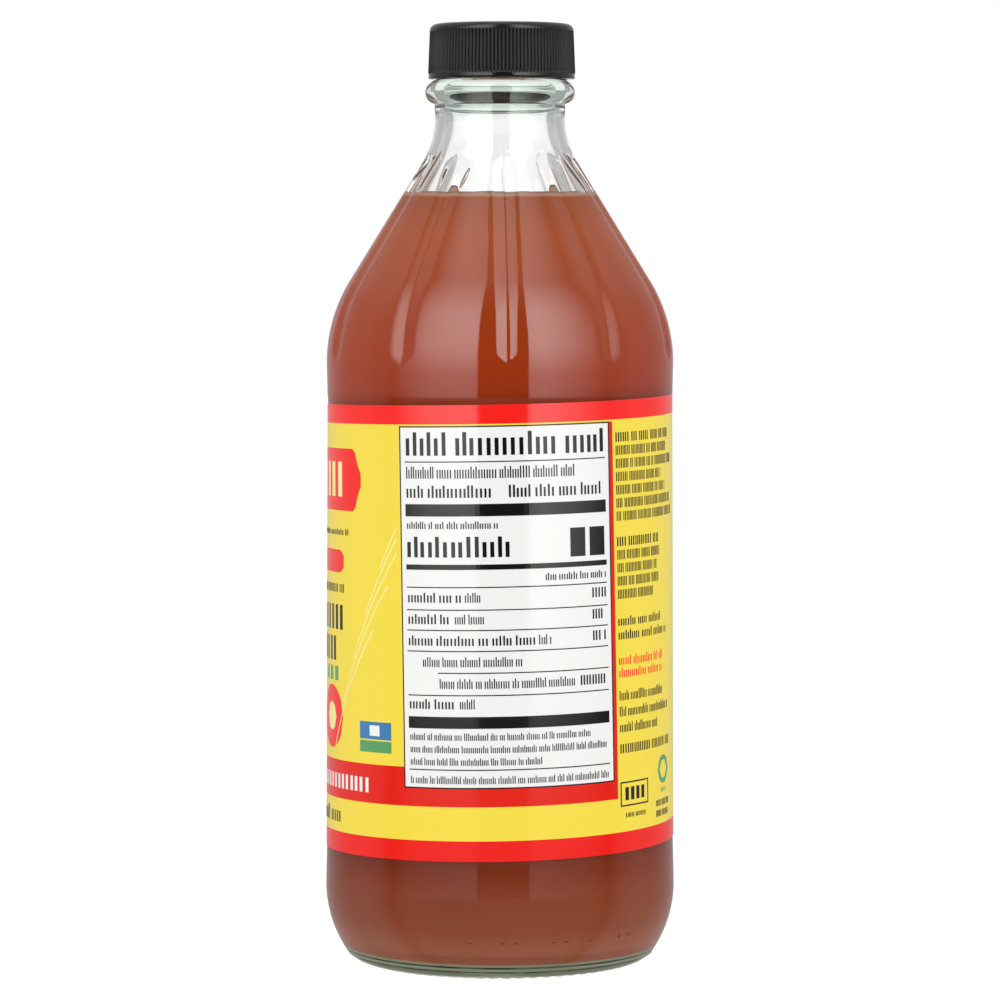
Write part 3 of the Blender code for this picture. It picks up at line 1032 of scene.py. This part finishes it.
def print_right_column(black, red, green):
    """Prints the lines and small signs to the right of the panel."""
    left = 25.7
    for index, end in enumerate((45.6, 44.1, 47.7, 41.2, 43.5, 47.0, 48.0)):
        base = 106.55 - 2.62 * index
        if index == 0:
            black.words(left, 36.0, base, 1.85, 0.34, 60, capitals=True)
            black.words(36.8, end, base, 1.85, 0.24, 61, capitals=True)
        else:
            black.words(left, end, base, 1.85, 0.24, 61 + index, capitals=True)
    for index, end in enumerate((39.8, 40.1, 39.0, 39.8, 37.5)):
        base = 85.76 - 2.62 * index
        black.words(left, end, base, 1.85, 0.34 if index == 0 else 0.24, 70 + index, capitals=True)
    for index, end in enumerate((40.5, 43.9)):
        black.words(left, end, 69.92 - 2.74 * index, 1.85, 0.34, 80 + index)
    for index, end in enumerate((41.5, 40.9)):
        red.words(left, end, 62.10 - 2.5 * index, 1.85, 0.32, 85 + index)
    for index, end in enumerate((41.0, 44.5, 38.8)):
        black.words(left, end, 55.0 - 3.18 * index, 1.95, 0.25, 90 + index)
    black.words(left, 45.0, 44.4, 1.85, 0.34, 95, capitals=True)
    black.frame(25.55, 34.3, 33.7, 38.65, 0.3)
    for index in range(4):
        start = 26.9 + 1.65 * index
        black.patch(start, start + 1.0, 34.9, 37.5)
    black.words(27.0, 33.5, 31.45, 0.9, 0.22, 96, capitals=True)
    for side in (-1, 1):
        def rim(across, side=side):
            return RING_UP + side * half_chord(across - RING_ACROSS, RING_SIZE)
        def hole(across, side=side):
            return RING_UP + side * half_chord(across - RING_ACROSS, RING_HOLE)
        lower, upper = (rim, hole) if side < 0 else (hole, rim)
        green.patch(RING_ACROSS - RING_SIZE, RING_ACROSS + RING_SIZE, lower, upper)
    green.words(39.9, 42.8, 35.0, 0.9, 0.2, 97, capitals=True)
    for index, base in enumerate((32.3, 30.2)):
        black.words(37.6, 44.6, base, 1.3, 0.2, 98 + index, capitals=True)


def print_front(black, red, green, blue, white, cream):
    """Prints the side left of the panel: a plaque, lines, ringed discs under short bars, and a sign."""
    def plaque_high(across):
        return 106.0 - 5.0 * smooth(across, -34.0, -31.4)
    def plaque_low(across):
        return 93.5 + 5.0 * smooth(across, -34.0, -31.4)
    red.patch(-104.0, -31.4, plaque_low, plaque_high)
    cream.words(-98.0, -37.0, 96.3, 7.0, 2.0, 100, capitals=True)
    black.words(-60.0, -36.0, 88.6, 1.3, 0.3, 101)
    def eased_end(across):
        return 1.2 * smooth(across, -39.8, -38.3)
    red.patch(-93.0, -38.3, lambda across: 81.0 + eased_end(across), lambda across: 85.6 - eased_end(across))
    black.words(-70.0, -38.0, 77.0, 1.7, 0.4, 102, capitals=True)
    black.words(-96.0, -36.6, 69.5, 5.0, 1.3, 103, capitals=True)
    black.words(-90.0, -41.8, 63.2, 4.9, 1.3, 104, capitals=True)
    for middle, height, size in ((-45.5, 51.8, 6.4), (-58.0, 50.5, 6.6), (-84.0, 51.5, 6.2)):
        red.oval(middle, height, size, size)
        cream.oval(middle, height, size * 0.45, size * 0.45)
        for bar in range(3):
            start = middle + size * (0.5 * bar - 0.65)
            green.patch(start, start + size * 0.3, height + size * 1.15, height + size * 1.6)
    white.words(-70.0, -29.8, 37.5, 4.0, 0.9, 105)
    black.words(-66.0, -39.6, 30.6, 3.0, 0.6, 106)
    blue.patch(-32.5, -23.5, 48.2, 51.7)
    green.patch(-32.5, -23.5, 45.6, 47.9)
    white.patch(-29.4, -26.6, 48.9, 51.0)
    for index in range(5):
        foot = -43.0 + 4.2 * index
        start = 46.0 + 9.0 * index
        def ray(across, foot=foot, start=start):
            return start + 1.9 * (across - foot) - 0.02 * (across - foot) ** 2
        end = min(PANEL_LEFT - 1.0, foot + 15.0)
        cream.patch(foot, end, lambda across: ray(across) - 0.3, lambda across: ray(across) + 0.3)


# Brightness that the glass and the label reflect, by the angle round from the camera and by the elevation
BRIGHTEST = 5.0
BOXES_ROUND = (
    (-85, 0.1), (-71, 0.95), (-60, 2.4), (-48, 3.8), (-30, 4.4), (-15.5, 4.4), (-14.5, 0.0),
    (18.5, 0.0), (19.5, 4.6), (30, 5.0), (48, 3.3), (60, 2.0), (71, 0.95), (85, 0.1),
)
BOXES_UP = (
    (-9, 0.0), (-7, 0.03), (-5.6, 0.11), (-4.5, 0.34), (-3.5, 0.55), (0, 0.62), (13, 0.95), (36, 1.0),
    (60, 0.43), (64, 0.25),
)
GAP_ROUND = ((-80, 0.0), (-60, 1.0), (60, 1.0), (80, 0.0))
GAP_UP = ((-6, 0.32), (-5.2, 0.03), (36, 0.03), (60, 0.33), (68, 0.6), (90, 0.9))
ROOM_ROUND = (
    (-170.4, 1.0), (-169.4, 0.4), (-150, 0.42), (-120, 0.38), (-100, 0.48), (-85, 0.4), (-75, 0.0),
    (75, 0.0), (85, 0.4), (100, 0.48), (120, 0.38), (150, 0.42), (169.4, 0.4), (170.4, 1.0),
)
ROOM_UP = ((20, 1.0), (62, 2.4))


def world_light():
    """Lights the scene: a white wall behind, grey sides, and two soft boxes in front with a gap between."""
    world = bpy.data.worlds.new("studio")
    bpy.context.scene.world = world
    world.use_nodes = True
    world.cycles.sampling_method = "NONE"
    nodes = world.node_tree.nodes
    links = world.node_tree.links
    background = nodes["Background"]
    place = nodes.new("ShaderNodeTexCoord")
    parts = nodes.new("ShaderNodeSeparateXYZ")
    links.new(place.outputs["Generated"], parts.inputs["Vector"])

    def calculate(operation, first, second=None):
        node = nodes.new("ShaderNodeMath")
        node.operation = operation
        for socket, value in zip(node.inputs, (first, second)):
            if isinstance(value, (int, float)):
                socket.default_value = value
            elif value is not None:
                links.new(value, socket)
        return node.outputs["Value"]

    def profile(value, reach, stops):
        """Returns a strength that runs straight from stop to stop of an angle between -reach and reach."""
        node = nodes.new("ShaderNodeValToRGB")
        links.new(calculate("DIVIDE", calculate("ADD", value, reach), 2 * reach), node.inputs["Fac"])
        elements = node.color_ramp.elements
        for index, (angle, strength) in enumerate(stops):
            position = (angle + reach) / (2 * reach)
            element = elements[index] if index < 2 else elements.new(position)
            element.position = position
            grey = strength / BRIGHTEST
            element.color = (grey, grey, grey, 1.0)
        return calculate("MULTIPLY", node.outputs["Color"], BRIGHTEST)

    towards_camera = calculate("MULTIPLY", parts.outputs["Y"], -1.0)
    azimuth = calculate("DEGREES", calculate("ARCTAN2", parts.outputs["X"], towards_camera))
    elevation = calculate("DEGREES", calculate("ARCSINE", parts.outputs["Z"]))
    boxes = calculate("MULTIPLY", profile(azimuth, 180, BOXES_ROUND), profile(elevation, 90, BOXES_UP))
    gap = calculate("MULTIPLY", profile(azimuth, 180, GAP_ROUND), profile(elevation, 90, GAP_UP))
    room = calculate("MULTIPLY", profile(azimuth, 180, ROOM_ROUND), profile(elevation, 90, ROOM_UP))
    glossy = calculate("ADD", boxes, calculate("ADD", room, gap))
    light_path = nodes.new("ShaderNodeLightPath")
    even = calculate("MAXIMUM", light_path.outputs["Is Camera Ray"], light_path.outputs["Is Diffuse Ray"])
    choice = nodes.new("ShaderNodeMix")
    choice.data_type = "FLOAT"
    links.new(even, choice.inputs["Factor"])
    links.new(glossy, choice.inputs[2])
    choice.inputs[3].default_value = 1.0
    links.new(choice.outputs[0], background.inputs["Strength"])
    background.inputs["Color"].default_value = (1.0, 1.0, 1.0, 1.0)


# Floor, in metres, and how far it glows of itself
FLOOR_SIZE = 8.0
FLOOR_DROP = 0.0001
FLOOR_GREY = 0.35
FLOOR_GLOW = 0.84


def build_floor():
    """Makes the pale floor, bright enough that only a contact shadow shows."""
    bpy.ops.mesh.primitive_plane_add(size=FLOOR_SIZE, location=(0.0, 0.0, -FLOOR_DROP))
    floor = bpy.context.active_object
    floor.name = "floor"
    material, nodes, links, shader, output = new_material("pale_floor")
    shader.inputs["Base Color"].default_value = (FLOOR_GREY, FLOOR_GREY, FLOOR_GREY, 1.0)
    shader.inputs["Roughness"].default_value = 1.0
    shader.inputs["Specular IOR Level"].default_value = 0.0
    shader.inputs["Emission Color"].default_value = (1.0, 1.0, 1.0, 1.0)
    shader.inputs["Emission Strength"].default_value = FLOOR_GLOW
    floor.data.materials.append(material)
    floor.visible_glossy = False


def build_camera():
    """Places the camera as the photograph was taken."""
    data = bpy.data.cameras.new("camera")
    data.lens = CAMERA_LENS
    data.sensor_width = 36.0
    data.clip_start = 0.05
    camera = bpy.data.objects.new("camera", data)
    bpy.context.scene.collection.objects.link(camera)
    camera.location = (0.0, -CAMERA_DISTANCE * MM, CAMERA_HEIGHT * MM)
    camera.rotation_euler = (math.radians(90 - CAMERA_TILT_DOWN), 0.0, 0.0)
    bpy.context.scene.camera = camera


def set_up_render():
    """Sets how light is traced and shown."""
    scene = bpy.context.scene
    scene.view_settings.view_transform = "Standard"
    scene.view_settings.look = "None"
    scene.cycles.max_bounces = 20
    scene.cycles.transmission_bounces = 20
    scene.cycles.glossy_bounces = 8
    scene.cycles.diffuse_bounces = 3


def main():
    """Builds every piece round the frame."""
    inks = {
        "yellow": print_material("yellow_ink", (0.89, 0.70, 0.060)),
        "red": print_material("red_ink", (0.92, 0.013, 0.009)),
        "deep_red": print_material("deep_red_ink", (0.76, 0.010, 0.002)),
        "low_red": print_material("low_red_ink", (0.85, 0.008, 0.004)),
        "white": print_material("white_paper", (0.86, 0.86, 0.84)),
        "black": print_material("black_ink", (0.006, 0.0055, 0.005)),
        "green": print_material("green_ink", (0.10, 0.33, 0.12)),
        "blue": print_material("blue_ink", (0.05, 0.20, 0.42)),
        "cream": print_material("cream_ink", (0.93, 0.82, 0.32)),
    }
    pieces = [build_glass(), build_vinegar(), build_label(inks), build_cap(), build_marks(), build_bubble()]
    pieces += build_painted_reflection_runs()
    levels = {"red": 1, "cream": 2, "green": 1, "blue": 1, "black": 2, "white": 2}
    prints = {name: Print(level) for name, level in levels.items()}
    print_panel(prints["black"])
    print_right_column(prints["black"], prints["red"], prints["green"])
    print_front(
        prints["black"], prints["red"], prints["green"], prints["blue"], prints["white"], prints["cream"]
    )
    for name, printed in prints.items():
        pieces.append(printed.build(f"label_print_{name}", inks[name]))
    for piece in pieces:
        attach(piece, BODY)
    build_floor()
    world_light()
    build_camera()
    set_up_render()


main()
